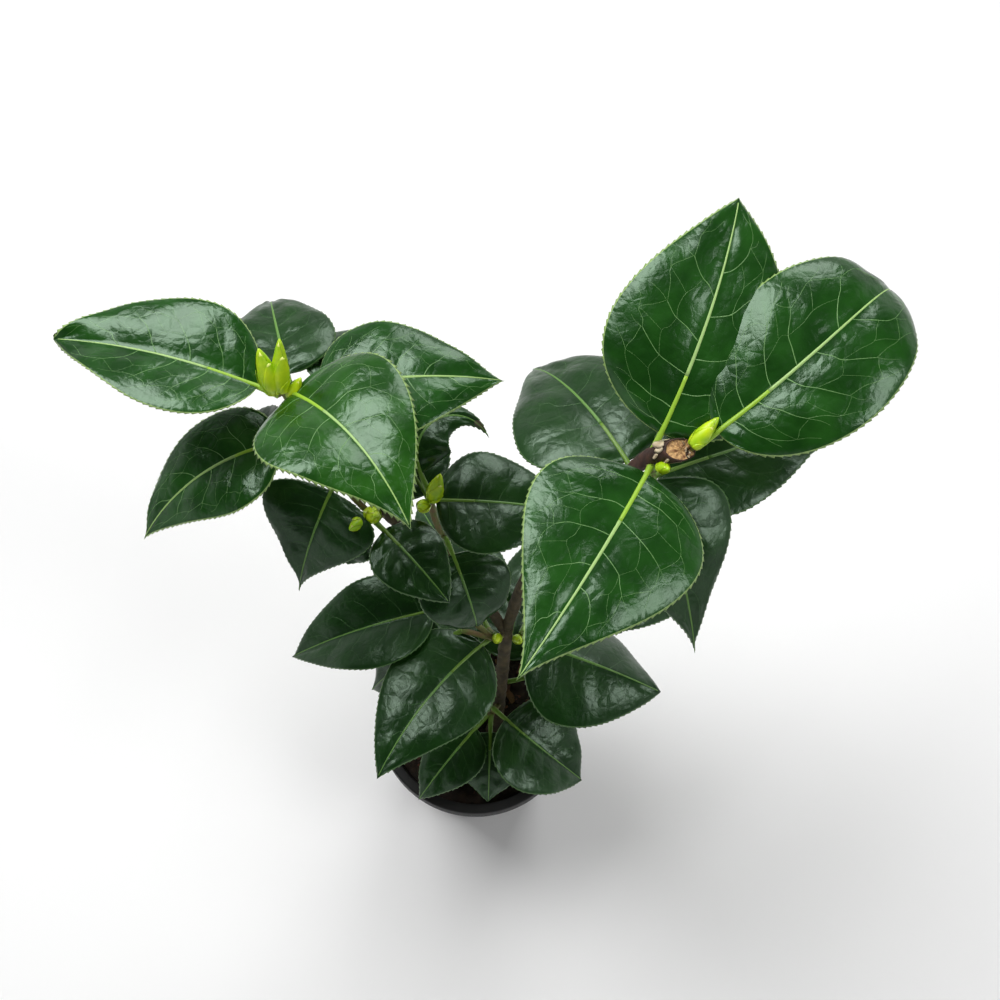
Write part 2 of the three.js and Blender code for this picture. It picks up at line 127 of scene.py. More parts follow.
MASSES = {
    "right_crown": dict(
        path=[(51, 22, 312), (55, 22, 326), (62, 22, 337), (70, 21, 341)], foot=2, tip=3.2,
        leaves=[
            leaf((58, 19, 331), -117, 12, 22, 79, 59, sweep=-9, taper=1.45, roll=-9, stalk=3),
            leaf((58, 22, 334), 61, 35, 28, 78, 59, sweep=18, taper=1, roll=8),
            leaf((72, 22, 340), 31, 26, 18, 80, 54, curl=70, sweep=18, taper=0.6, roll=8),
            leaf((56, 24, 309), 118, 0, 50, 67, 57, curl=10, sweep=8, tint=0),
            leaf((59, 18, 326), -71, -14, 52, 64, 43, taper=1.9, stalk=1.5, tint=0),
            leaf((59, 21, 317), 20, 2, 14, 70, 42, taper=1.4, stalk=3, tint=0),
            leaf((57, 24, 306), 50, -30, 20, 56, 38, tint=0),
        ],
        buds=[bud((70.5, 22, 341.5), 42, 30, 11, 5), bud((61, 18, 333), -60, 55, 6, 4)]),
    "left_crown": dict(
        path=[(-58, 58, 282), (-61, 60, 292), (-63, 60, 302)], foot=1.8, tip=1.5,
        leaves=[
            leaf((-65, 59, 300), 161, 13, 20, 73, 49, sweep=12, taper=0.95, roll=5, fold=27, wave=1.5),
            leaf((-61, 59, 302), -38, 35, 60, 70, 58, sweep=-26, taper=1.35, roll=-4, fold=20, stalk=3,
                 tint=2),
            leaf((-59, 63, 292), 4, 21, 46, 67, 47, taper=1.2),
            leaf((-57, 65, 287), 52, -12, 35, 44, 34, tint=0),
            leaf((-62, 66, 289), 105, -8, 20, 49, 41, curl=45, tint=0),
            leaf((-60, 53, 276), -173, -8, 40, 69, 40, sweep=38, taper=1.3),
            leaf((-64, 60, 272), 178, -38, 20, 36, 26, stalk=4, tint=0),
        ],
        buds=[bud((-66, 59, 304), 112, 66, 18, 7), bud((-63, 59, 305), 82, 62, 20, 6),
              bud((-60, 58, 302), 40, 50, 8, 4.5)]),
    "centre": dict(
        path=[(-6, 33, 197), (-14, 44, 222), (-15, 47, 240)], foot=1.5, tip=1.3,
        leaves=[
            leaf((-15, 45, 238), -1, 5, 35, 59, 42, taper=1.3, stalk=2, tint=0),
            leaf((-16, 49, 238), 118, 35, 75, 48, 26, sweep=-175, taper=1.8, tint=3),
            leaf((-14, 46, 226), 120, 5, 40, 54, 36, tint=0),
            leaf((-10, 39, 214), -68, -5, 60, 35, 38, curl=30, taper=0.8, tint=0),
        ],
        buds=[bud((-14, 45, 241), 60, 60, 12, 6), bud((-17, 43, 238), -120, 60, 8, 5)]),
    "left_middle": dict(
        path=[(-32, 42, 232), (-36, 40, 236), (-38, 40, 238)], foot=1.3, tip=1.2,
        leaves=[
            leaf((-49, 53, 245), -117, -20, 50, 47, 50, taper=2.1, fold=22, tint=0),
            leaf((-37, 39, 234), -48, 15, 40, 38, 29, taper=1, tint=0),
            leaf((-38, 41, 232), -132, -35, 20, 17, 19, tint=0),
            leaf((-36, 43, 234), 95, -5, 30, 50, 34, tint=0),
        ],
        buds=[bud((-39, 38, 238), -125, 40, 12, 6), bud((-37, 39, 239), -70, 65, 12, 6.5)]),
    "right_middle": dict(
        path=[(23, 27, 208), (28, 26, 207), (31, 25, 207)], foot=1.3, tip=1.2,
        leaves=[
            leaf((31, 27, 208), 55, 5, 35, 56, 38, tint=0),
            leaf((32, 25, 205), -5, 0, 35, 54, 36, tint=0),
            leaf((31, 23, 205), -30, -8, 30, 28, 24, tint=0),
        ],
        buds=[]),
    "low_left": dict(
        path=[(14, 19, 155), (10, 16, 157), (8, 15, 159)], foot=1.4, tip=1.2,
        leaves=[
            leaf((9, 17, 158), -139, 5, 22, 71, 46, sweep=22, tint=0),
            leaf((-10, 28, 161), -169, -4, 40, 71, 45, fold=28, tint=0),
            leaf((-5, 18, 160), -158, -22, 40, 50, 34, tint=0),
            leaf((6, 20, 156), 116, -4, 30, 70, 42, tint=0),
        ],
        buds=[bud((10, 15, 160), -100, 60, 7, 4)]),
    "low_right": dict(
        path=[(14, 18, 150), (19, 17, 152), (21, 17, 153)], foot=1.4, tip=1.2,
        leaves=[
            leaf((19, 17, 152), -19, 5, 30, 61, 54, taper=0.9, roll=-14, fold=-12, stalk=4, tint=0),
            leaf((20, 19, 153), 66, -2, 35, 58, 38, tint=0),
            leaf((21, 18, 154), 34, -6, 35, 42, 30, tint=0),
        ],
        buds=[bud((18, 16, 155), -60, 60, 7, 4)]),
    "base_front": dict(
        path=[(11, 2, 104), (9, -2, 107), (8, -4, 109)], foot=1.3, tip=1.2,
        leaves=[
            leaf((8, -4, 116), -40, -8, 33, 46, 50, sweep=12, taper=1, roll=-10, fold=22, tint=0),
            leaf((5, -6, 110), -132, -5, 40, 43, 28, tint=0),
            leaf((7, -6, 110), -92, -12, 40, 33, 34, tint=0),
        ],
        buds=[]),
    "base_back": dict(
        path=[(11, 4, 106), (12, 10, 109), (12, 12, 111)], foot=1.3, tip=1.2,
        leaves=[
            leaf((13, 12, 112), 80, 5, 45, 48, 34, tint=0),
            leaf((10, 12, 111), 145, 0, 45, 48, 32, tint=0),
            leaf((15, 10, 109), 12, 0, 45, 44, 30, tint=0),
        ],
        buds=[]),
}

# The leading shoot's cut end: the mass it tops, its axis, where along it and facing where the cut lies, and
# strips of peeling bark as an angle round it, their start and end along it and their width.
STUB = {
    "mass": "right_crown", "from": (60, 22, 334.5), "to": (70, 21, 341), "long": 7.4, "radius": 3.6,
    "face": (0.22, -0.2, 0.95),
    "strips": [(128, 0.02, 0.96, 3.2), (98, 0.3, 0.97, 1.8), (158, 0.1, 0.9, 1.8), (62, 0.0, 0.45, 1.1),
               (30, 0.45, 0.98, 1.0), (-25, 0.1, 0.8, 1.0), (200, 0.3, 0.95, 1.4)],
}


# ---- materials ----
def srgb(red, green, blue):
    """A colour given as screen values from 0 to 255."""
    shares = [c / 255 for c in (red, green, blue)]
    return (*(c / 12.92 if c <= 0.04 else ((c + 0.055) / 1.055) ** 2.4 for c in shares), 1)


def surface(name, colour, roughness, *, second=None, mottle=(90, 4), bump=(), settings=None, plan=False):
    """A Principled material. Its colour is plain, or mottled with a second one by noise. Each bump is a
    noise scale per metre and a height in millimetres."""
    material = bpy.data.materials.new(name)
    material.use_nodes = True
    nodes, links = material.node_tree.nodes, material.node_tree.links
    shader = nodes["Principled BSDF"]
    shader.inputs["Base Color"].default_value = colour
    shader.inputs["Roughness"].default_value = roughness
    for socket, value in (settings or {}).items():
        shader.inputs[socket].default_value = value
    where = nodes.new("ShaderNodeTexCoord").outputs["Object"]

    def grain(scale, detail):
        texture = nodes.new("ShaderNodeTexNoise")
        texture.inputs["Scale"].default_value = scale
        texture.inputs["Detail"].default_value = detail
        links.new(where, texture.inputs["Vector"])
        return texture.outputs["Fac"]

    if second:
        ramp = nodes.new("ShaderNodeValToRGB")
        ramp.color_ramp.elements[0].position = 0.36
        ramp.color_ramp.elements[0].color = colour
        ramp.color_ramp.elements[1].position = 0.66
        ramp.color_ramp.elements[1].color = second
        links.new(grain(*mottle), ramp.inputs["Fac"])
        links.new(ramp.outputs["Color"], shader.inputs["Base Color"])
    normal = None
    for scale, height in bump:
        normal = bumped(nodes, links, height, grain(scale, 3), normal)
    if plan:
        normal = net_bump(nodes, links, normal)
    if normal:
        links.new(normal, shader.inputs["Normal"])
    return material


def bumped(nodes, links, height, source, normal):
    """A bump of a height in millimetres on top of the normal that there is, or of none."""
    step = nodes.new("ShaderNodeBump")
    step.inputs["Distance"].default_value = height * MM
    links.new(source, step.inputs["Height"])
    if normal:
        links.new(normal, step.inputs["Normal"])
    return step.outputs["Normal"]


def net_bump(nodes, links, normal):
    """The finest veins of a blade: a net of shallow grooves round domed cells, on the blade's own plan."""
    plan = nodes.new("ShaderNodeUVMap")
    plan.uv_map = "plan"
    cells = nodes.new("ShaderNodeTexVoronoi")
    cells.feature = "DISTANCE_TO_EDGE"
    cells.inputs["Scale"].default_value = 26
    links.new(plan.outputs["UV"], cells.inputs["Vector"])
    groove = nodes.new("ShaderNodeMapRange")
    groove.inputs["From Max"].default_value = 0.4
    links.new(cells.outputs["Distance"], groove.inputs["Value"])
    return bumped(nodes, links, 0.08, groove.outputs["Result"], normal)


WAX = {"Specular IOR Level": 0.55, "Specular Tint": (0.78, 1, 0.82, 1)}    # for a faintly green gloss
LEAF_BUMP = ((1500, 0.03), (600, 0.05), (230, 0.055))

MATERIALS = {
    "blade_0": surface("blade_deep", srgb(12, 44, 7), 0.3, second=srgb(20, 56, 11), settings=WAX,
                       bump=LEAF_BUMP, plan=True),
    "blade_1": surface("blade_green", srgb(16, 54, 9), 0.24, second=srgb(29, 74, 19), settings=WAX,
                       bump=LEAF_BUMP, plan=True),
    "blade_2": surface("blade_fresh", srgb(21, 62, 9), 0.24, second=srgb(36, 83, 19), settings=WAX,
                       bump=LEAF_BUMP, plan=True),
    "dry": surface("dry_leaf_tip", srgb(70, 62, 52), 0.6, second=srgb(96, 84, 66), mottle=(400, 4),
                   bump=((900, 0.06),)),
    "under": surface("blade_underside", srgb(94, 120, 66), 0.55, second=srgb(108, 134, 78),
                     bump=((900, 0.04),)),
    "margin": surface("blade_margin", srgb(138, 168, 96), 0.42, bump=((600, 0.04),)),
    "margin_0": surface("blade_margin_deep", srgb(66, 102, 50), 0.42, bump=((600, 0.04),)),
    "rib": surface("midrib", srgb(152, 186, 108), 0.42, bump=((500, 0.05),)),
    "rib_0": surface("midrib_deep", srgb(92, 134, 58), 0.42, bump=((500, 0.05),)),
    "stalk": surface("leaf_stalk", srgb(144, 184, 48), 0.42, bump=((400, 0.06),)),
    "stalk_0": surface("leaf_stalk_deep", srgb(98, 134, 42), 0.42, bump=((400, 0.06),)),
    "vein": surface("side_vein", srgb(104, 146, 84), 0.42, bump=((600, 0.03),)),
    "vein_0": surface("side_vein_deep", srgb(46, 88, 36), 0.4, bump=((600, 0.03),)),
    "bud": surface("bud_scale", srgb(196, 222, 18), 0.4, second=srgb(150, 196, 14), mottle=(200, 2),
                   bump=((700, 0.05),)),
    "bud_tip": surface("bud_scale_tip", srgb(212, 222, 112), 0.45, bump=((700, 0.05),)),
    "twig": surface("green_twig", srgb(96, 112, 50), 0.6, second=srgb(112, 92, 56), mottle=(300, 4),
                    bump=((900, 0.1),)),
    # the bark's own brown, made darker still to paint the shade that falls on the trunk and boughs under the
    # crown
    "bark": surface("bark", srgb(52, 45, 28), 0.8, second=srgb(80, 70, 46), mottle=(220, 6),
                    bump=((1200, 0.12), (350, 0.2))),
    "old_bark": surface("stub_bark", srgb(38, 22, 16), 0.75, second=srgb(74, 46, 34), mottle=(400, 5),
                        bump=((1200, 0.12),)),
    "peel": surface("peeling_bark", srgb(204, 190, 160), 0.7, second=srgb(166, 146, 116),
                    mottle=(500, 4), bump=((1500, 0.08),)),
    "cut": surface("cut_wood", srgb(208, 168, 112), 0.75, second=srgb(110, 70, 42), mottle=(900, 4),
                   bump=((1800, 0.15),)),
    "plastic": surface("pot_plastic", srgb(9, 9, 9), 0.6, second=srgb(14, 14, 14), mottle=(60, 3),
                       settings={"Specular IOR Level": 0.3}, bump=((1600, 0.03),)),
    "soil": surface("compost", srgb(26, 18, 13), 0.95, second=srgb(46, 32, 22), mottle=(320, 6),
                    bump=((900, 0.4), (2400, 0.15))),
    "chip_red": surface("chip_red", srgb(92, 50, 32), 0.85, second=srgb(64, 36, 24), mottle=(500, 4),
                        bump=((1400, 0.15),)),
    "chip_dark": surface("chip_dark", srgb(40, 27, 20), 0.9, second=srgb(26, 19, 15), mottle=(500, 4),
                         bump=((1400, 0.15),)),
    "chip_pale": surface("chip_pale", srgb(116, 84, 54), 0.85, second=srgb(88, 62, 40), mottle=(500, 4),
                         bump=((1400, 0.15),)),
    "floor": surface("pale_floor", srgb(246, 246, 246), 0.7, second=srgb(243, 243, 243), mottle=(3, 2)),
}


# ---- meshes ----
class Shape:
    """Points in millimetres, faces and the material of each, which make one mesh object."""

    def __init__(self):
        self.points, self.plans, self.faces, self.kinds = [], [], [], []
        self.count = 0

    def add(self, points, plans=None):
        """Takes an array of points and returns their numbers in the same layout."""
        points = np.asarray(points, float)
        flat = points.reshape(-1, 3)
        self.points.append(flat)
        self.plans.append(np.zeros((len(flat), 2)) if plans is None else plans.reshape(-1, 2))
        numbers = np.arange(self.count, self.count + len(flat)).reshape(points.shape[:-1])
        self.count += len(flat)
        return numbers

    def grid(self, numbers, kind, flip=False):
        """Faces over rows of numbers. A corner that repeats its neighbour is dropped."""
        for near, far in zip(numbers[:-1].tolist(), numbers[1:].tolist()):
            for corners in zip(near[:-1], far[:-1], far[1:], near[1:]):
                face = [c for i, c in enumerate(corners) if c != corners[i - 1]]
                if len(face) > 2:
                    self.faces.append(face[::-1] if flip else face)
                    self.kinds.append(kind)

    def face(self, numbers, kind):
        self.faces.append(list(numbers))
        self.kinds.append(kind)

    def tube(self, rings, kind):
        """Skins rings of equal count, each counter-clockwise seen from the far end, with closed ends."""
        numbers = self.add(rings)
        self.grid(closed(numbers), kind, flip=True)
        self.face(numbers[0][::-1].tolist(), kind)
        self.face(numbers[-1].tolist(), kind)

    def object(self, name):
        mesh = bpy.data.meshes.new(name)
        mesh.from_pydata((np.concatenate(self.points) * MM).tolist(), [], self.faces)
        kinds = sorted(set(self.kinds))
        for kind in kinds:
            mesh.materials.append(MATERIALS[kind])
        mesh.polygons.foreach_set("material_index", [kinds.index(kind) for kind in self.kinds])
        mesh.polygons.foreach_set("use_smooth", [True] * len(self.faces))
        corners = np.zeros(len(mesh.loops), int)
        mesh.loops.foreach_get("vertex_index", corners)
        plan = mesh.uv_layers.new(name="plan")
        plan.data.foreach_set("uv", (np.concatenate(self.plans)[corners] / 100).ravel())
        made = bpy.data.objects.new(name, mesh)
        bpy.context.collection.objects.link(made)
        return made


def closed(numbers):
    """Rows of numbers, each with its first one again at its end."""
    return np.concatenate([numbers, numbers[:, :1]], axis=1)


def dress(piece, slot, *nodes):
    """Puts a piece on the plant's one body and hides the CAD nodes that it stands for, if any. Its slot is
    not used.
    """
    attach(piece, "root")
    if nodes:
        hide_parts(*nodes)


# ---- curves and rods ----
def circle(count):
    """Angles once round, evenly spaced."""
    return np.linspace(0, 2 * math.pi, count, endpoint=False)


def unit(vectors):
    return vectors / np.maximum(np.linalg.norm(vectors, axis=-1, keepdims=True), 1e-9)


def smooth(path, count):
    """Points along the Catmull-Rom curve through a path, evenly spaced."""
    path = np.array(path, float)
    ends = [2 * path[0] - path[1], *path, 2 * path[-1] - path[-2]]
    fine = []
    for a, b, c, d in zip(ends, ends[1:], ends[2:], ends[3:]):
        s = np.linspace(0, 1, 24, endpoint=False)[:, None]
        fine.append(0.5 * (2 * b + (c - a) * s + (2 * a - 5 * b + 4 * c - d) * s ** 2
                           + (3 * b - a - 3 * c + d) * s ** 3))
    fine.append(path[-1:])
    return even(np.concatenate(fine), count)


def even(points, count):
    run = np.concatenate([[0], np.cumsum(np.linalg.norm(np.diff(points, axis=0), axis=1))])
    wanted = np.linspace(0, run[-1], count)
    return np.stack([np.interp(wanted, run, points[:, axis]) for axis in range(3)], -1)


def rings(points, radii, sides):
    """Rings of points round a line, each of its own radius, which may differ round the ring."""
    ways = unit(np.gradient(points, axis=0))
    across = unit(np.cross(ways[0], (0.3, 1, 0.2)))
    turn = circle(sides)
    radii = np.asarray(radii, float).reshape(len(points), -1)
    made = []
    for point, way, radius in zip(points, ways, radii):
        across = unit(across - way * (across @ way))
        other = np.cross(way, across)
        ray = np.cos(turn)[:, None] * across + np.sin(turn)[:, None] * other
        made.append(point + radius[:, None] * ray)
    return np.array(made)


def wobble(points, scale, seed):
    """Smooth noise from -1 to 1 at each point."""
    flat = points.reshape(-1, 3) * scale
    values = [noise.fractal(Vector(p) + Vector((seed, 0, 0)), 0.6, 2.0, 4) for p in flat]
    return np.array(values).reshape(points.shape[:-1])


def barked(points, radii, sides, seed, relief):
    """Rings with a bark's relief: long low ridges, and bumps between them."""
    plain = rings(points, radii, sides)
    centre = points[:, None, :]
    along = plain * (1, 1, 0.18)
    lift = relief * (0.7 * wobble(along, 0.9, seed) + 0.5 * wobble(plain, 0.5, seed + 31))
    return plain + unit(plain - centre) * lift[..., None]


def heading(azimuth, pitch):
    return np.stack([np.cos(pitch) * np.cos(azimuth), np.cos(pitch) * np.sin(azimuth), np.sin(pitch)], -1)


# ---- a leaf ----
class Leaf:
    """A blade's plan and how it lies in space. On the plan x runs from stalk to tip and y across. A place
    is also named by u, from base to tip along the slanting side veins, and v, from -1 to 1 across."""

    STATIONS = 160
    OUTLINE = 400

    def __init__(self, row, seed):
        self.row = row
        self.random = np.random.default_rng([SEED, seed])
        self.phase = self.random.uniform(0, 2 * math.pi, 4)
        draw = self.random.uniform
        self.swells = [(draw(0.03, 0.1), draw(14, 34), draw(-12, 12), draw(0, 6.3)) for _ in range(6)]
        self.lay_spine()
        self.lay_outline()

    def lay_spine(self):
        row = self.row
        t = self.t = np.linspace(0, 1, self.STATIONS)
        azimuth = np.radians(row["az"] + row["sweep"] * t)
        pitch = np.radians(row["pitch"] - row["droop"] * t - row["curl"] * t ** 4)
        way = heading(azimuth, pitch)
        steps = 0.5 * (way[1:] + way[:-1]) * row["long"] / (self.STATIONS - 1)
        self.start = np.array(row["at"], float) + way[0] * row["stalk"]
        self.place = self.start + np.concatenate([np.zeros((1, 3)), np.cumsum(steps, axis=0)])
        level = np.stack([-np.sin(azimuth), np.cos(azimuth), np.zeros_like(t)], -1)
        upright = np.cross(way, level)
        roll = math.radians(row["roll"])
        self.side = level * math.cos(roll) + upright * math.sin(roll)
        self.up = upright * math.cos(roll) - level * math.sin(roll)

    def half(self, t):
        """Half width of the blade at t along it."""
        taper = self.row["taper"]
        widest = BASE_FULLNESS / (BASE_FULLNESS + taper)
        most = widest ** BASE_FULLNESS * (1 - widest) ** taper
        t = np.clip(t, 0, 1)
        return self.row["wide"] / 2 * t ** BASE_FULLNESS * (1 - t) ** taper / most

    def lay_outline(self):
        t = 0.5 - 0.5 * np.cos(np.linspace(0, math.pi, self.OUTLINE))
        x, y = t * self.row["long"], self.half(t)
        run = np.concatenate([[0], np.cumsum(np.hypot(np.diff(x), np.diff(y)))])
        self.edge = run / run[-1], x, y
        self.teeth = round(run[-1] / TOOTH_PITCH)

    def margin(self, u):
        """The margin's plan at u, and its outward and forward directions."""
        share, x, y = self.edge
        at = lambda s: np.stack([np.interp(s, share, x), np.interp(s, share, y)], -1)
        forward = unit(at(np.clip(u + 0.004, 0, 1)) - at(np.clip(u - 0.004, 0, 1)))
        outward = np.stack([-forward[..., 1], forward[..., 0]], -1)
        return at(u), outward, forward

    def plan(self, u, v):
        """The plan's x and y at u and v, inside the pale margin."""
        rim, outward, _ = self.margin(u)
        rim = rim - outward * np.minimum(MARGIN_WIDTH, 0.3 * rim[..., 1])[..., None]
        reach = np.abs(v)
        spine = self.row["long"] * u ** 1.5
        return spine + (rim[..., 0] - spine) * reach ** 1.3, rim[..., 1] * v

    def relief(self, u, v):
        """Height of the blade over its plain form: lowest along the side veins, cushioned between them,
        with slow swells that differ from leaf to leaf, and ripples along the margin."""
        reach = np.abs(v)
        phase = (u - self.first_vein(v)) / VEIN_STEP - 0.3 * reach
        near = phase - np.round(phase)
        cushion = CUSHION * (1 - np.cos(2 * math.pi * phase)) - GROOVE * np.exp(-(near / 0.06) ** 2)
        cushion *= np.sin(math.pi * np.clip(reach / 0.95, 0, 1)) ** 0.7 * np.clip(8 * u * (1 - u), 0, 1)
        swell = sum(size * np.sin(along * u + across * v + turn) for size, along, across, turn in self.swells)
        ripple = RIPPLE * reach ** 3 * np.sin(2 * math.pi * 3.3 * u + self.phase[0] + 2 * np.sign(v))
        return (cushion + swell * np.clip(4 * reach, 0, 1) + ripple) * np.clip(12 * u, 0, 1)

    def kind(self, name):
        """The material of a rib, vein or margin, which is darker on the deepest green leaves."""
        return name if self.row["tint"] in (1, 2) else f"{name}_0"

    def first_vein(self, v):
        return np.where(np.asarray(v) > 0, 0.1, 0.1 + 0.45 * VEIN_STEP)

    def lie(self, x, y, lift):
        """Places plan points in space, lift millimetres above the blade's middle."""
        row = self.row
        t = np.clip(x / row["long"], 0, 1)
        mix = lambda values: np.stack([np.interp(t, self.t, values[:, axis]) for axis in range(3)], -1)
        half = np.maximum(self.half(t), 0.5)
        across = y / half
        fold = math.radians(row["fold"])
        wave = row["wave"] * across ** 2 * np.sin(3 * math.pi * t + across)
        rise = np.abs(y) * math.sin(fold) - CAMBER * half * across ** 2 + wave + lift
        return (mix(self.place) + mix(unit(self.side)) * (y * math.cos(fold))[..., None]
                + mix(unit(self.up)) * rise[..., None])

    def on_top(self, u, v):
        x, y = self.plan(u, v)
        return self.lie(x, y, self.relief(u, v) + BLADE_THICK / 2)

    def normal(self, u, v):
        step = 0.004
        along = self.on_top(np.clip(u + step, 0, 1), v) - self.on_top(np.clip(u - step, 0, 1), v)
        across = self.on_top(u, v + step) - self.on_top(u, v - step)
        return unit(np.cross(along, across))


def add_blade(shape, leaf_):
    """A blade as one closed skin: upper side, lower side and a toothed pale margin between."""
    teeth = leaf_.teeth
    rows = [((tooth + along) / teeth, out) for tooth in range(teeth) for along, out in TOOTH] + [(1.0, 0.0)]
    u, out = (np.array(column) for column in zip(*rows))
    growth = leaf_.random.uniform(0.75, 1.2, teeth + 1)
    size = TOOTH_DEPTHS[leaf_.row["tint"]] * growth[np.minimum((u * teeth).astype(int), teeth)]
    size *= np.clip((u - 0.07) * 12, 0, 1) * np.clip((1 - u) * 16, 0, 1)

    reach = np.linspace(0, 1, COLUMNS) ** 0.9
    v = np.concatenate([-reach[::-1], reach[1:]])
    grid_u, grid_v = np.meshgrid(u, v, indexing="ij")
    x, y = leaf_.plan(grid_u, grid_v)
    relief = leaf_.relief(grid_u, grid_v)
    thick = BLADE_THICK / 2 * np.minimum(1, 3 * np.clip(8 * grid_u * (1 - grid_u), 0.1, 1))

    rim, outward, forward = leaf_.margin(u)
    tip = rim + (outward + 0.6 * forward) * (size * out)[:, None]
    rim_relief = leaf_.relief(u, np.ones_like(u)), leaf_.relief(u, -np.ones_like(u))
    left = leaf_.lie(tip[:, 0], -tip[:, 1], rim_relief[1])
    right = leaf_.lie(tip[:, 0], tip[:, 1], rim_relief[0])

    flat = np.stack([x, y], -1)
    top = shape.add(leaf_.lie(x, y, relief + thick), flat)
    under = shape.add(leaf_.lie(x, y, relief - thick), flat)
    edges = shape.add(np.stack([left, right], 1), np.stack([tip * (1, -1), tip], 1))
    for numbers in (top, under, edges):
        numbers[0] = top[0, COLUMNS - 1]
        numbers[-1] = top[-1, COLUMNS - 1]
    tint = leaf_.row["tint"]
    dry = int(DRY_FROM * len(u)) if tint == DRY_TIP else len(u)
    shape.grid(top[:dry + 1], "blade_0" if tint == DRY_TIP else f"blade_{tint}")
    shape.grid(top[dry:], "dry")
    shape.grid(under, "under", flip=True)
    for numbers, kind, flip in ((top, leaf_.kind("margin"), False), (under, "under", True)):
        shape.grid(np.stack([edges[:, 0], numbers[:, 0]], 1), kind, flip)
        shape.grid(np.stack([numbers[:, -1], edges[:, 1]], 1), kind, flip)


def add_ridge(shape, leaf_, route, widths, height):
    """A low ridge over the blade along places (u, v), as a three-sided rod sunk into it."""
    route = np.array(route, float)
    fine = np.linspace(0, len(route) - 1, 5 * (len(route) - 1) + 1)
    curve = smooth(np.column_stack([route, np.zeros(len(route))]), len(fine))
    u, v = np.clip(curve[:, 0], 0.01, 0.995), curve[:, 1]
    place, normal = leaf_.on_top(u, v), leaf_.normal(u, v)
    across = unit(np.cross(normal, np.gradient(place, axis=0)))
    half = np.linspace(*widths, len(u))[:, None] / 2
    foot = place - normal * 0.12
    shape.tube(np.stack([foot - across * half, place + normal * height, foot + across * half], 1)[:, ::-1],
               leaf_.kind("vein"))


def add_veins(shape, leaf_):
    """Side veins that run out from the midrib with kinks, fork, and loop forward to the next one. Cross
    veins and the loops' outer branches close a net of uneven cells."""
    random = leaf_.random
    jitter = lambda size: random.uniform(-size, size)

    def draw(hand, route, widths, height):
        kinked = [route[0]]
        for (u, v), (next_u, next_v) in zip(route, route[1:]):
            kinked += [((u + next_u) / 2 + jitter(0.008), (v + next_v) / 2 + jitter(0.03)), (next_u, next_v)]
        add_ridge(shape, leaf_, [(u, hand * v) for u, v in kinked], widths, height)

    for hand in (-1, 1):
        starts = [float(leaf_.first_vein(hand)) + VEIN_STEP * k + jitter(0.018) for k in range(LATERALS)]
        elbows = [(u + 0.02 + jitter(0.01), 0.32 + jitter(0.05)) for u in starts]
        forks = [(u + 0.055 + jitter(0.016), 0.6 + jitter(0.06)) for u in starts]
        for k, (start, elbow, fork) in enumerate(zip(starts, elbows, forks)):
            draw(hand, [(start, 0.02), elbow, fork], (0.66, 0.34), 0.06)
            beyond = forks[k + 1] if k + 1 < LATERALS else (min(fork[0] + 0.15, 0.95), 0.5)
            peak = ((fork[0] + beyond[0]) / 2 + jitter(0.012), 0.77 + jitter(0.04))
            draw(hand, [fork, peak, (beyond[0], beyond[1] + 0.02)], (0.3, 0.22), 0.04)
            draw(hand, [peak, (min(peak[0] + 0.05, 0.97), 0.9 + jitter(0.02))], (0.24, 0.18), 0.035)
            draw(hand, [fork, (fork[0] + 0.015, 0.82 + jitter(0.03))], (0.26, 0.18), 0.035)
            if k + 1 < LATERALS:
                after = elbows[k + 1]
                middle = ((elbow[0] + after[0]) / 2 + 0.01 + jitter(0.01), 0.42 + jitter(0.05))
                draw(hand, [elbow, middle, after], (0.22, 0.18), 0.03)
                draw(hand, [middle, peak], (0.2, 0.16), 0.03)


def add_stalk_and_rib(shape, leaf_):
    """The stalk runs on as the midrib, which stands proud near the blade's base and sinks towards its tip.
    Its first part is as lime green as the stalk."""
    row = leaf_.row
    node = np.array(row["at"], float)
    stalk_way = unit(leaf_.start - node)
    share = np.linspace(0, 1, 7)[:, None]
    stalk = node - stalk_way * 0.6 + (leaf_.start - node + stalk_way * 0.6) * share
    stalk_radii = STALK_RADIUS * (1.12 - 0.2 * share[:, 0])
    t = np.linspace(0.015, 0.975, RIB_STEPS)
    half_width, height = RIB_WIDTH / 2 * (1 - 0.8 * t), 0.14 + 0.32 * (1 - t) + 0.5 * np.exp(-t / 0.06)
    radii = (half_width ** 2 + height ** 2) / (2 * height)
    x = t * row["long"]
    rib = leaf_.lie(x, np.zeros_like(x), BLADE_THICK / 2 + height - radii)
    line = np.concatenate([stalk, rib])
    made = rings(line, np.concatenate([stalk_radii, radii]), 10)
    lime = len(stalk) + LIME_STEPS
    shape.tube(made[:lime + 1], leaf_.kind("stalk"))
    shape.tube(made[lime:], leaf_.kind("rib"))


# ---- buds ----
def bud_profile(s):
    """A bud's half width at s along it, as a share of its widest: a round foot and a slender point."""
    at = lambda s: (s + 0.08) ** 0.45 * (1.02 - s) ** 0.75
    return at(s) / at(0.34)


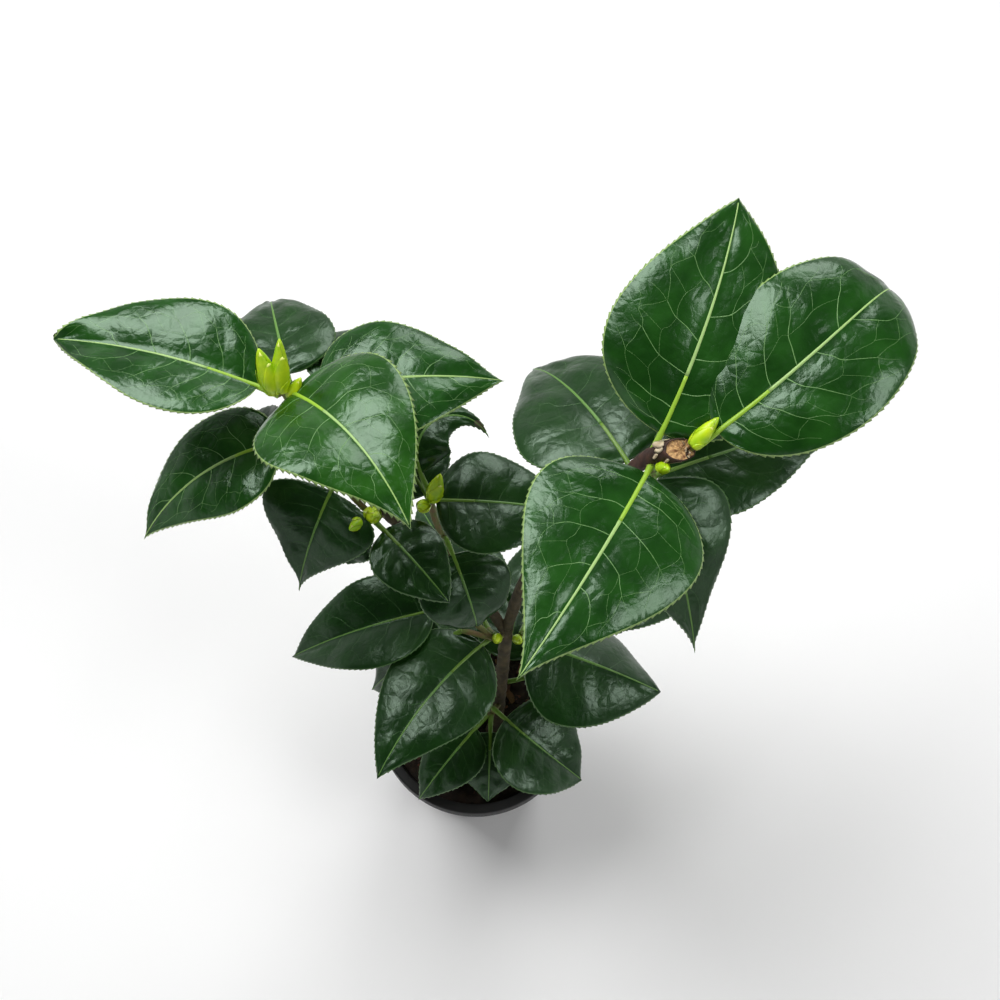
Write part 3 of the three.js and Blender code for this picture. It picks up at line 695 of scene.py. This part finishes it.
def add_bud(shape, row, seed):
    """A slender pointed bud of overlapping scales round a core. Each scale is a closed thin shell."""
    random = np.random.default_rng([SEED, 500 + seed])
    way = heading(math.radians(row["az"]), math.radians(row["pitch"]))
    across = unit(np.cross(way, (0, 0, 1)))
    other = np.cross(way, across)
    foot = np.array(row["at"], float) - way * STALK_RADIUS
    length = row["long"] + STALK_RADIUS
    radius = row["wide"] / 2

    def around(s, angle, out):
        ray = np.cos(angle)[..., None] * across + np.sin(angle)[..., None] * other
        return foot + way * (s * length)[..., None] + ray * (radius * bud_profile(s) * out)[..., None]

    tip_row = 12
    for k, share in enumerate(BUD_SCALES if row["long"] > 9 else BUD_SCALES[1:]):
        layer = share ** 2
        middle = 2.7 * k + random.uniform(-0.25, 0.25)
        s, w = np.meshgrid(np.linspace(0, 1, 14), np.linspace(-1, 1, 11), indexing="ij")
        angle = middle + w * 1.5 * (1 - s ** 2.4) ** 0.75
        stand = 1 + 0.08 * (1 - layer) + 0.09 * (1.3 - layer) * s ** 5 + 0.03 * (1 - w ** 2)
        thin = 0.13 * (1 - w ** 2) * (1 - s)
        front = shape.add(around(s * share, angle, stand))
        back = shape.add(around(s * share, angle, stand - thin))
        back[:, 0], back[:, -1], back[0] = front[:, 0], front[:, -1], front[0]
        front[-1] = back[-1] = front[-1, 5]
        shape.grid(front[:tip_row + 1], "bud", flip=True)
        shape.grid(front[tip_row:], "bud_tip", flip=True)
        shape.grid(back, "bud")
    core = np.linspace(0, 1, 14)
    line = foot + way * (core * length)[:, None]
    shape.tube(rings(line, radius * bud_profile(core) * 0.93, 14), "bud")


# ---- masses ----
def scatter(seed):
    """A number from -1 to 1 that looks random and is the same for the same seed."""
    large = 43758.5453 * math.sin(12.9898 * seed)
    return 2 * (large - math.floor(large)) - 1


def twig_line(stem, node, seed):
    """From the nearest place on the stem, clear of its foot, by a bend to the node. None where the node
    lies on the stem."""
    spots = even(stem, 25)[4:]
    foot = spots[np.argmin(np.linalg.norm(spots - node, axis=1))]
    reach = np.linalg.norm(node - foot)
    if reach < STALK_RADIUS:
        return None
    aside = np.array([scatter(seed), scatter(seed + 1), scatter(seed + 2)])
    bend = (foot + node) / 2 + aside * TWIG_KINK * reach
    return smooth([foot, bend, node + unit(node - bend) * STALK_RADIUS / 2], 10)


def add_ribbon(shape, line, up, widths, thick, kind):
    """A thin strip along a line, flat side towards up, as a closed four-sided rod."""
    across = unit(np.cross(np.gradient(line, axis=0), up))
    half = np.asarray(widths, float)[:, None] / 2
    lift = unit(up) * thick / 2
    shape.tube(np.stack([line - across * half, line + lift, line + across * half, line - lift], 1)[:, ::-1],
               kind)


class Stub:
    """The end of the leading shoot: cut slanting across, with a dark rim, torn wood, bark that peels off in
    pale strips, and brown scales and hairs round its far side."""

    SIDES = 48
    ROWS = 22
    SPLINTERS = 16
    HAIRS = 4

    def __init__(self):
        self.random = np.random.default_rng([SEED, 700])
        self.foot, self.end = np.array(STUB["from"], float), np.array(STUB["to"], float)
        self.axis, self.face = unit(self.end - self.foot), unit(np.array(STUB["face"], float))
        self.centre = self.foot + self.axis * STUB["long"]
        self.side = unit(np.cross(self.axis, self.face))
        self.top = np.cross(self.side, self.axis)

    def rays(self, angles):
        """Ways out from the axis."""
        return np.cos(angles)[:, None] * self.side + np.sin(angles)[:, None] * self.top

    def wall(self, share, rays, radius, past=0.0):
        """Places on the wall, from 0 at its foot to 1 at the cut, or past it."""
        run = ((self.centre + self.face * past - self.foot - radius * rays) @ self.face) / (
            self.axis @ self.face)
        return self.foot + self.axis * (share * run)[..., None] + radius * rays

    def add_to(self, shape):
        self.add_cut_face(shape, *self.add_wall(shape))
        for strip in STUB["strips"]:
            self.add_strip(shape, *strip)
        for number in range(self.SPLINTERS):
            self.add_splinter(shape, number)
        for number in range(self.HAIRS):
            self.add_hair(shape, number)

    def add_wall(self, shape):
        """Returns the numbers and places of its upper lip, and the rays to them."""
        rays = self.rays(circle(self.SIDES))
        rough = 0.16 * wobble(rays * 3, 1.4, 5)[:, None]
        rows = np.array([self.wall(np.full(self.SIDES, s), rays,
                                   (STUB["radius"] - 0.35 * (1 - s)) + rough, 0.35 if s == 1 else 0)
                         for s in np.linspace(0, 1, self.ROWS)])
        rows[:-1] += rays * (0.16 * wobble(rows[:-1] * (1, 1, 0.4), 1.1, 9))[..., None]
        lip = rows[-1] - rays * 0.45
        numbers = shape.add(np.concatenate([rows, lip[None]]))
        shape.grid(closed(numbers), "old_bark", flip=True)
        shape.face(numbers[0][::-1].tolist(), "old_bark")
        return closed(numbers)[-1], lip, rays

    def add_cut_face(self, shape, lip_numbers, lip, rays):
        middle = lip.mean(axis=0) - self.face * 0.5
        inward = np.linspace(0, 1, 12)[:, None, None]
        disc = (lip - self.face * 0.35) * (1 - inward) + middle * inward
        grain = wobble(rays * 2.5, 2.2, 13)[None, :] + 0.6 * wobble(disc, 1.3, 17)
        disc += self.face * (0.42 * grain * np.sin(math.pi * np.linspace(0.05, 0.8, 12))[:, None])[..., None]
        cut = shape.add(disc)
        cut[-1] = cut[-1, 0]
        shape.grid(closed(cut), "cut", flip=True)
        shape.grid(np.stack([lip_numbers, closed(cut)[0]]), "old_bark", flip=True)

    def add_strip(self, shape, angle, start, stop, width):
        """Bark that stands off the wall, most at its foot."""
        rays = self.rays(math.radians(angle) + 0.14 * np.sin(np.linspace(0, 3, 12) + angle))
        stand = 0.14 + 0.3 * np.linspace(1, 0, 12) ** 4 + 0.2 * np.linspace(0, 1, 12) ** 6
        line = self.wall(np.linspace(start, stop, 12), rays, STUB["radius"] + stand[:, None])
        taper = width * np.sin(math.pi * np.linspace(0.12, 0.9, 12)) ** 0.5
        add_ribbon(shape, line, rays, taper, 0.16, "peel")

    def add_splinter(self, shape, number):
        draw = self.random.uniform
        angle = draw(-0.9, 0.9) + (0 if number % 2 else 0.5)
        out = math.cos(angle) * self.axis + math.sin(angle) * self.side
        root = self.centre + self.axis * draw(1.2, 3.2) + self.side * math.sin(angle) * 2.2 - self.top * 0.6
        reach, rise = draw(0.8, 2.4), draw(0.3, 1.6)
        s = np.linspace(0, 1, 7)[:, None]
        line = root + out * reach * s + self.top * rise * s ** 2
        kind = str(self.random.choice(["peel", "cut", "old_bark"]))
        widths = draw(0.7, 1.6) * np.sin(math.pi * (0.15 + 0.8 * s[:, 0]))
        add_ribbon(shape, line, self.top - out * s, widths, 0.2, kind)

    def add_hair(self, shape, number):
        s = np.linspace(0, 1, 12)[:, None]
        root = self.end + self.side * self.random.uniform(-2, 2)
        line = (root + self.axis * (1.2 + number * 0.5) * s - self.side * 2.4 * s ** 2
                + self.top * (0.8 * s - 1.6 * s ** 3))
        shape.tube(rings(line, np.linspace(0.16, 0.08, 12), 5), "old_bark")


def add_mass(name, plan, number):
    """One foliage mass: its leaves, its stem with its twigs, and its buds, as three pieces."""
    leaves, twigs, buds = Shape(), Shape(), Shape()
    stem = smooth(plan["path"], STEM_STEPS)
    run_in = stem[0] - unit(stem[1] - stem[0]) * 1.5
    line = np.concatenate([[run_in], stem])
    radii = np.linspace(plan["foot"], plan["tip"], len(line))
    if name == STUB["mass"]:
        shoot = barked(line[:-SHOOT_CUT], radii[:-SHOOT_CUT], LIMB_SIDES, number, SHOOT_RELIEF)
        twigs.tube(shoot, "old_bark")
        Stub().add_to(twigs)
    else:
        twigs.tube(barked(line, radii, STEM_SIDES, number, STEM_RELIEF), "twig")
    for index, row in enumerate(plan["leaves"]):
        made = Leaf(row, 100 * number + index)
        add_blade(leaves, made)
        add_stalk_and_rib(leaves, made)
        add_veins(leaves, made)
    for index, row in enumerate(plan["leaves"] + plan["buds"]):
        route = twig_line(stem, np.array(row["at"], float), 100 * number + TWIG_SEED * index)
        if route is not None:
            radii = STALK_RADIUS * np.linspace(1.15, 1.05, len(route))
            twigs.tube(barked(route, radii, TWIG_SIDES, number + 7, TWIG_RELIEF), "twig")
    for index, row in enumerate(plan["buds"]):
        add_bud(buds, row, 10 * number + index)
    dress(leaves.object(f"{name}_leaves"), "foliage", name)
    dress(twigs.object(f"{name}_twigs"), "bark", name)
    if plan["buds"]:
        dress(buds.object(f"{name}_buds"), "foliage", name)


def add_limb(name, plan, number):
    """A trunk or bough, with a flared foot and a slight swelling at each old leaf node."""
    shape = Shape()
    line = smooth(plan["path"], LIMB_STEPS)
    t = np.linspace(0, 1, LIMB_STEPS)
    radii = plan["foot"] + (plan["tip"] - plan["foot"]) * t + plan["flare"] * np.maximum(0, 1 - 5 * t) ** 2
    for node in np.arange(0.12, 1, 0.17):
        radii = radii + 0.28 * np.exp(-((t - node) / 0.012) ** 2)
    shape.tube(barked(line, radii, LIMB_SIDES, 40 + number, LIMB_RELIEF), "bark")
    dress(shape.object(f"{name}_bark"), "bark", name)


# ---- pot and soil ----
POT_WALL_TOP = POT_RIM_RADIUS - POT_LIP_PROUD


def wall_radius(z):
    return POT_BASE_RADIUS + (POT_WALL_TOP - POT_BASE_RADIUS) * z / POT_HEIGHT


def arc(centre, radius, start, end):
    """Profile points on part of a circle, by angles in degrees."""
    angle = np.radians(np.linspace(start, end, 6))
    return [(centre[0] + radius * math.cos(a), centre[1] + radius * math.sin(a)) for a in angle]


def turned(shape, profile, kind):
    """Turns a profile that starts and ends on the axis round it."""
    profile = np.array(profile, float)
    turn = circle(POT_SIDES)
    points = np.stack([profile[:, :1] * np.cos(turn), profile[:, :1] * np.sin(turn),
                       np.repeat(profile[:, 1:], POT_SIDES, axis=1)], -1)
    numbers = shape.add(points)
    numbers[0], numbers[-1] = numbers[0, 0], numbers[-1, 0]
    shape.grid(closed(numbers), kind)


def make_pot():
    """The pot as one turned shell with a lip, cut through by its drain holes."""
    lip_foot = POT_HEIGHT - POT_LIP_HEIGHT
    inner_top = POT_WALL_TOP - POT_WALL
    profile = [
        (0, 0.6), (POT_BASE_RADIUS - 4, 0.6), (POT_BASE_RADIUS - 3.4, 0),
        *arc((POT_BASE_RADIUS - 1, 1), 1, -90, 0),
        *[(wall_radius(z), z) for z in np.linspace(4, lip_foot - 0.6, 12)],
        *arc((POT_RIM_RADIUS - 0.7, lip_foot + 0.7), 0.7, -90, 0),
        *arc((POT_RIM_RADIUS - 0.9, POT_HEIGHT - 0.9), 0.9, 0, 90),
        *arc((inner_top + 0.5, POT_HEIGHT - 0.5), 0.5, 90, 180),
        *[(wall_radius(z) - POT_WALL, z) for z in np.linspace(lip_foot, POT_FLOOR + 1, 10)],
        (wall_radius(POT_FLOOR) - POT_WALL - 1, POT_FLOOR), (0, POT_FLOOR),
    ]
    shape = Shape()
    turned(shape, profile, "plastic")
    piece = shape.object("pot_shell")
    cutters = Shape()
    for k in range(DRAIN_HOLES):
        turn = 2 * math.pi * k / DRAIN_HOLES
        centre = np.array([DRAIN_CIRCLE * math.cos(turn), DRAIN_CIRCLE * math.sin(turn), 0])
        line = centre + np.array([[0, 0, -3], [0, 0, 4]])
        cutters.tube(rings(line, [DRAIN_RADIUS] * 2, 28), "plastic")
    cutter = cutters.object("drain_cutter")
    holes = piece.modifiers.new("holes", "BOOLEAN")
    holes.object = cutter
    holes.solver = "EXACT"
    evaluated = piece.evaluated_get(bpy.context.evaluated_depsgraph_get())
    cut = bpy.data.meshes.new_from_object(evaluated)
    piece.modifiers.clear()
    piece.data = cut
    bpy.data.objects.remove(cutter)
    for polygon in cut.polygons:
        polygon.use_smooth = True
    cut.set_sharp_from_angle(angle=math.radians(35))
    dress(piece, "pot_plastic", "pot")


def soil_height(x, y):
    """Height of the compost: level near the stem, and sinking towards the pot's wall, with clods."""
    radius = np.hypot(x, y) / (wall_radius(SOIL_TOP) - POT_WALL)
    fall = SOIL_CROWN * np.clip((radius - 0.55) / 0.45, 0, 1) ** 1.4
    clods = np.array([noise.fractal(Vector((a * 0.22, b * 0.22, 3)), 0.7, 2.1, 5)
                      for a, b in zip(np.ravel(x), np.ravel(y))]).reshape(np.shape(x))
    return SOIL_TOP + SOIL_CROWN - fall + 1.1 * clods


def make_soil():
    """The compost as one closed bed, clear of the pot's wall and floor."""
    inner = lambda z: wall_radius(z) - POT_WALL - GAP / 2
    turn = circle(SOIL_SIDES)
    radius = np.linspace(0, 1, 56) * inner(SOIL_TOP)
    x, y = radius[:, None] * np.cos(turn), radius[:, None] * np.sin(turn)
    top = np.stack([x, y, soil_height(x, y)], -1)
    foot_radius = inner(POT_FLOOR + GAP)
    foot = np.stack([foot_radius * np.cos(turn), foot_radius * np.sin(turn),
                     np.full_like(turn, POT_FLOOR + GAP)], -1)
    shape = Shape()
    numbers = shape.add(np.concatenate([top, foot[None]]))
    numbers[0] = numbers[0, 0]
    shape.grid(closed(numbers), "soil")
    shape.face(numbers[-1][::-1].tolist(), "soil")
    dress(shape.object("soil_bed"), "compost", "soil")


def make_chips():
    """Bark chips and crumbs lying on the compost, clear of the stem."""
    random = np.random.default_rng([SEED, 900])
    shape = Shape()
    foot = np.array(LIMBS["trunk"]["path"][0][:2])
    reach = wall_radius(SOIL_TOP) - POT_WALL - 5
    corners = np.array([(i, j, k) for i in (-1, 1) for j in (-1, 1) for k in (-1, 1)], float)
    sides = ((0, 1, 3, 2), (4, 6, 7, 5), (0, 4, 5, 1), (2, 3, 7, 6), (0, 2, 6, 4), (1, 5, 7, 3))
    for _ in range(CHIPS):
        radius, turn = reach * math.sqrt(random.uniform()), random.uniform(0, 2 * math.pi)
        x, y = radius * math.cos(turn), radius * math.sin(turn)
        long = random.choice([1.2, 2.2, 3.6, 5.5], p=[0.4, 0.35, 0.17, 0.08])
        size = long / 2 * np.array([1, random.uniform(0.4, 0.7), random.uniform(0.18, 0.35)])
        kind = str(random.choice(["chip_dark", "chip_red", "chip_pale"], p=[0.5, 0.38, 0.12]))
        shake = random.uniform(0.65, 1.1, corners.shape)
        spin, tilt = random.uniform(0, math.pi), random.uniform(-0.35, 0.35)
        if math.hypot(x - foot[0], y - foot[1]) < CHIP_CLEARANCE:
            continue
        local = corners * shake * size
        local[:, 2] += local[:, 0] * tilt
        turned_x = local[:, 0] * math.cos(spin) - local[:, 1] * math.sin(spin)
        turned_y = local[:, 0] * math.sin(spin) + local[:, 1] * math.cos(spin)
        ground = float(soil_height(np.array([x]), np.array([y]))[0])
        points = np.stack([x + turned_x, y + turned_y, ground + 0.25 * size[2] + local[:, 2]], -1)
        numbers = shape.add(points)
        for side in sides:
            shape.face(numbers[list(side)].tolist(), kind)
    piece = shape.object("soil_chips")
    dress(piece, "compost")
    piece.data.polygons.foreach_set("use_smooth", [False] * len(piece.data.polygons))


# ---- the set ----
def make_floor():
    mesh = bpy.data.meshes.new("floor")
    far = 4.0
    mesh.from_pydata([(-far, -far, 0), (far, -far, 0), (far, far, 0), (-far, far, 0)], [], [(0, 1, 2, 3)])
    mesh.materials.append(MATERIALS["floor"])
    floor = bpy.data.objects.new("floor", mesh)
    bpy.context.collection.objects.link(floor)


def make_camera():
    """The photo's camera, which looks down on the plant at 22 degrees off the vertical."""
    data = bpy.data.cameras.new("camera")
    data.lens = 54
    data.sensor_width = 36
    data.clip_start, data.clip_end = 0.02, 20
    camera = bpy.data.objects.new("camera", data)
    camera.location = (0.011, -0.166, 0.761)
    camera.rotation_euler = (math.radians(22), 0, 0)
    bpy.context.collection.objects.link(camera)
    bpy.context.scene.camera = camera


def make_light(name, place, target, size, watts):
    """A soft rectangular light, in metres and watts, that faces its target."""
    data = bpy.data.lights.new(name, "AREA")
    data.shape = "RECTANGLE"
    data.size, data.size_y = size
    data.energy = watts
    light = bpy.data.objects.new(name, data)
    light.location = place
    light.rotation_euler = (Vector(target) - Vector(place)).to_track_quat("-Z", "Y").to_euler()
    bpy.context.collection.objects.link(light)


def make_set():
    make_floor()
    make_camera()
    centre = (0.0, 0.03, 0.25)
    make_light("window", (-0.45, 0.45, 1.4), centre, (0.8, 0.8), 18)
    make_light("fill", (0.85, -0.3, 1.2), centre, (0.5, 0.5), 5)
    make_light("back", (0.5, 1.5, 1.35), centre, (0.8, 0.8), 12)
    world = bpy.data.worlds.new("studio")
    world.use_nodes = True
    nodes, links = world.node_tree.nodes, world.node_tree.links
    way = nodes.new("ShaderNodeSeparateXYZ")
    links.new(nodes.new("ShaderNodeTexCoord").outputs["Generated"], way.inputs["Vector"])
    sky = nodes.new("ShaderNodeValToRGB")
    sky.color_ramp.elements[0].position = 0.1
    sky.color_ramp.elements[0].color = (0.85, 0.85, 0.85, 1)
    sky.color_ramp.elements[1].position = 0.55
    sky.color_ramp.elements[1].color = (0.03, 0.03, 0.03, 1)
    links.new(way.outputs["Z"], sky.inputs["Fac"])
    links.new(sky.outputs["Color"], nodes["Background"].inputs["Color"])
    bpy.context.scene.world = world
    bpy.context.scene.view_settings.view_transform = "Standard"


for number, (name, plan) in enumerate(LIMBS.items()):
    add_limb(name, plan, number)
for number, (name, plan) in enumerate(MASSES.items()):
    add_mass(name, plan, number)
make_pot()
make_soil()
make_chips()
make_set()
